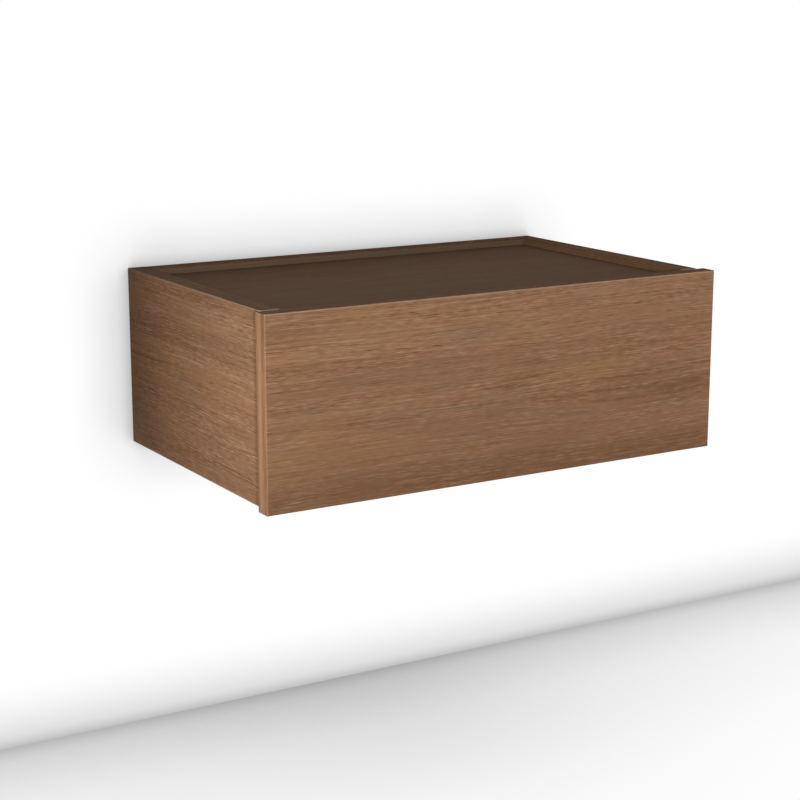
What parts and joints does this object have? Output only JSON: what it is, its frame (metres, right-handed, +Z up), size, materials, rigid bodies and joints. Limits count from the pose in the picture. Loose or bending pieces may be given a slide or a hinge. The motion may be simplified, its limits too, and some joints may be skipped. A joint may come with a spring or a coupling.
{
  "type": "wall shelf with drawer",
  "caption": "Wall-hung walnut shelf box with a recessed top tray and a full-width handle-less drawer on ball-bearing slides.",
  "frame": {"origin": "in the wall plane, at the centre of the four wall holes in the back panel", "axes": "+X along the width, +Y into the wall, +Z up; the drawer opens towards -Y"},
  "size_m": [0.5, 0.315, 0.18],
  "materials": {
    "walnut_board": "walnut veneered board, satin",
    "walnut_top": "walnut veneered board, satin",
    "walnut_band": "walnut edge band, satin",
    "birch_plywood": "birch plywood, clear matt lacquer",
    "beech_dowel": "raw fluted beech",
    "zinc": "die-cast zinc",
    "plated_steel": "zinc-plated rolled steel",
    "bearing_steel": "polished bearing balls",
    "rubber": "matt moulded rubber"
  },
  "bodies": {
    "carcass": {"left_side": "walnut_board", "right_side": "walnut_board", "top_panel": "walnut_top", "bottom_panel": "walnut_board", "back_panel": "walnut_board", "left_side_front_band": "walnut_band", "left_side_top_band": "walnut_band", "left_side_bottom_band": "walnut_band", "right_side_front_band": "walnut_band", "right_side_top_band": "walnut_band", "right_side_bottom_band": "walnut_band", "top_panel_front_band": "walnut_band", "bottom_panel_front_band": "walnut_band", "back_panel_top_band": "walnut_band", "back_panel_bottom_band": "walnut_band", "cam_locks": "zinc", "cam_bolts": "plated_steel", "dowels": "beech_dowel", "front_bumpers": "rubber", "left_outer_rail": "plated_steel", "right_outer_rail": "plated_steel", "outer_rail_screws": "plated_steel", "rail_stops": "rubber"},
    "drawer": {"drawer_front": "walnut_board", "drawer_front_left_band": "walnut_band", "drawer_front_right_band": "walnut_band", "drawer_front_top_band": "walnut_band", "drawer_front_bottom_band": "walnut_band", "drawer_left_side": "birch_plywood", "drawer_right_side": "birch_plywood", "drawer_inner_front": "birch_plywood", "drawer_back": "birch_plywood", "drawer_bottom": "birch_plywood", "drawer_corner_screws": "plated_steel", "drawer_front_screws": "plated_steel", "left_inner_rail": "plated_steel", "right_inner_rail": "plated_steel", "inner_rail_screws": "plated_steel"},
    "left_middle": {"left_middle_rail": "plated_steel"},
    "right_middle": {"right_middle_rail": "plated_steel"},
    "left_outer_ball_cage": {"left_outer_cage": "plated_steel", "left_outer_balls": "bearing_steel"},
    "right_outer_ball_cage": {"right_outer_cage": "plated_steel", "right_outer_balls": "bearing_steel"},
    "left_inner_ball_cage": {"left_inner_cage": "plated_steel", "left_inner_balls": "bearing_steel"},
    "right_inner_ball_cage": {"right_inner_cage": "plated_steel", "right_inner_balls": "bearing_steel"}
  },
  "joints": [
    {"name": "drawer_slide", "type": "slide", "parent": "carcass", "child": "drawer", "axis": [0, -1, 0], "range_m": [0, 0.25]},
    {"name": "left_middle_slide", "type": "slide", "parent": "carcass", "child": "left_middle", "axis": [0, -1, 0], "range_m": [0, 0.125]},
    {"name": "right_middle_slide", "type": "slide", "parent": "carcass", "child": "right_middle", "axis": [0, -1, 0], "range_m": [0, 0.125]},
    {"name": "left_outer_cage_slide", "type": "slide", "parent": "carcass", "child": "left_outer_ball_cage", "axis": [0, -1, 0], "range_m": [0, 0.0625]},
    {"name": "right_outer_cage_slide", "type": "slide", "parent": "carcass", "child": "right_outer_ball_cage", "axis": [0, -1, 0], "range_m": [0, 0.0625]},
    {"name": "left_inner_cage_slide", "type": "slide", "parent": "carcass", "child": "left_inner_ball_cage", "axis": [0, -1, 0], "range_m": [0, 0.1875]},
    {"name": "right_inner_cage_slide", "type": "slide", "parent": "carcass", "child": "right_inner_ball_cage", "axis": [0, -1, 0], "range_m": [0, 0.1875]}
  ],
  "couplings": [
    {"joint": "left_middle_slide", "follows": "drawer_slide", "ratio": 0.5},
    {"joint": "right_middle_slide", "follows": "drawer_slide", "ratio": 0.5},
    {"joint": "left_outer_cage_slide", "follows": "drawer_slide", "ratio": 0.25},
    {"joint": "right_outer_cage_slide", "follows": "drawer_slide", "ratio": 0.25},
    {"joint": "left_inner_cage_slide", "follows": "drawer_slide", "ratio": 0.75},
    {"joint": "right_inner_cage_slide", "follows": "drawer_slide", "ratio": 0.75}
  ]
}
